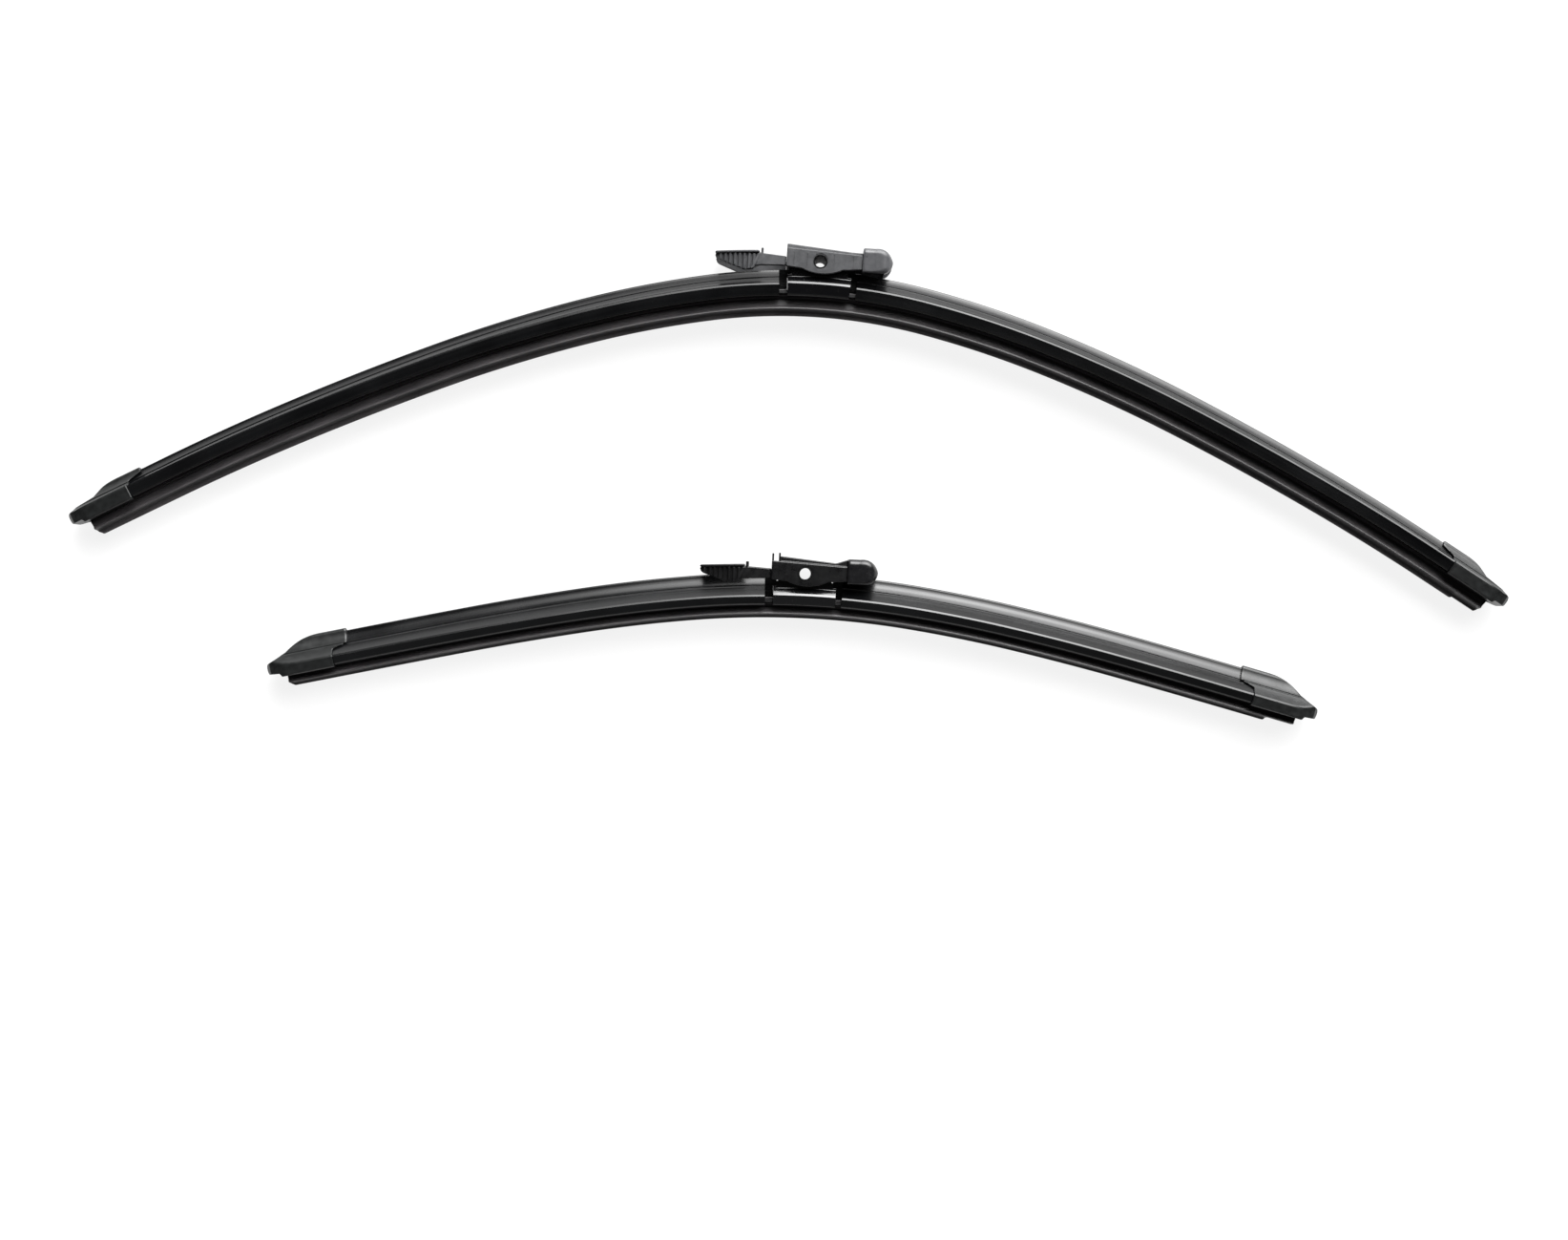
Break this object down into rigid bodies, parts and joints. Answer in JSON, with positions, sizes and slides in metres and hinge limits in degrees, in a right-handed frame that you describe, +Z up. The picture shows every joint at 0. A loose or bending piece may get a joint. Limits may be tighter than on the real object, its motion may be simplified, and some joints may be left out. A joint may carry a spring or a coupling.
{
  "type": "windshield wiper blade pair",
  "caption": "Long and short arched beam wiper blades with pinch-tab adapters, split spoilers, steel rails, rubber and end caps.",
  "frame": {"origin": "middle of the pair's outline, on the surface that both blades lie on", "axes": "+X along the blades, +Y away from the glass side of both blades, +Z up from the surface they lie on"},
  "size_m": [0.606, 0.2018, 0.0193],
  "materials": {
    "rubber": "matte, faintly graphite coated",
    "spring_steel": "black coated spring strip",
    "spoiler_plastic": "satin extruded elastomer",
    "bracket_steel": "gloss black coat",
    "rivet_steel": "black zinc",
    "adapter_plastic": "fine moulded texture",
    "gloss_adapter_plastic": "black semi-gloss moulding",
    "nose_plastic": "semi-gloss moulded",
    "cap_plastic": "fine moulded texture"
  },
  "bodies": {
    "long_blade": {"long_wiping_rubber": "rubber", "long_front_spring_rail": "spring_steel", "long_rear_spring_rail": "spring_steel", "long_left_spoiler": "spoiler_plastic", "long_right_spoiler": "spoiler_plastic", "long_centre_bracket": "bracket_steel", "long_pivot_rivet": "rivet_steel", "long_left_end_cap": "cap_plastic", "long_right_end_cap": "cap_plastic"},
    "long_adapter": {"long_adapter_body": "adapter_plastic", "long_nose_cap": "nose_plastic"},
    "long_front_tab": {"long_front_pinch_tab": "adapter_plastic"},
    "long_rear_tab": {"long_rear_pinch_tab": "adapter_plastic"},
    "short_blade": {"short_wiping_rubber": "rubber", "short_front_spring_rail": "spring_steel", "short_rear_spring_rail": "spring_steel", "short_left_spoiler": "spoiler_plastic", "short_right_spoiler": "spoiler_plastic", "short_centre_bracket": "bracket_steel", "short_pivot_rivet": "rivet_steel", "short_left_end_cap": "cap_plastic", "short_right_end_cap": "cap_plastic"},
    "short_adapter": {"short_adapter_body": "gloss_adapter_plastic", "short_nose_cap": "nose_plastic"},
    "short_front_tab": {"short_front_pinch_tab": "gloss_adapter_plastic"},
    "short_rear_tab": {"short_rear_pinch_tab": "gloss_adapter_plastic"}
  },
  "joints": [
    {"name": "short_blade_lift", "type": "slide", "parent": "long_blade", "child": "short_blade", "axis": [0, 0, 1], "range_m": [0, 0.12]},
    {"name": "long_adapter_pivot", "type": "hinge", "parent": "long_blade", "child": "long_adapter", "pos_m": [0.01335, 0.09292, 0.00954], "axis": [-0.0009, -0.0128, 0.9999], "range_deg": [-10, 7]},
    {"name": "long_front_tab_pinch", "type": "hinge", "parent": "long_adapter", "child": "long_front_tab", "pos_m": [-0.00115, 0.09342, 0.01549], "axis": [-0.0668, -0.9977, -0.0128], "range_deg": [0, 3], "stiffness_Nm_per_rad": 0.3},
    {"name": "long_rear_tab_pinch", "type": "hinge", "parent": "long_adapter", "child": "long_rear_tab", "pos_m": [-0.00114, 0.09357, 0.00359], "axis": [0.0668, 0.9977, 0.0128], "range_deg": [0, 3], "stiffness_Nm_per_rad": 0.3},
    {"name": "short_adapter_pivot", "type": "hinge", "parent": "short_blade", "child": "short_adapter", "pos_m": [0.00704, -0.03727, 0.00961], "axis": [-0.0016, -0.0338, 0.9994], "range_deg": [-8, 4]},
    {"name": "short_front_tab_pinch", "type": "hinge", "parent": "short_adapter", "child": "short_front_tab", "pos_m": [-0.00747, -0.0372, 0.01554], "axis": [-0.0459, -0.9984, -0.0339], "range_deg": [0, 3], "stiffness_Nm_per_rad": 0.3},
    {"name": "short_rear_tab_pinch", "type": "hinge", "parent": "short_adapter", "child": "short_rear_tab", "pos_m": [-0.00745, -0.0368, 0.00365], "axis": [0.0459, 0.9984, 0.0339], "range_deg": [0, 3], "stiffness_Nm_per_rad": 0.3}
  ]
}
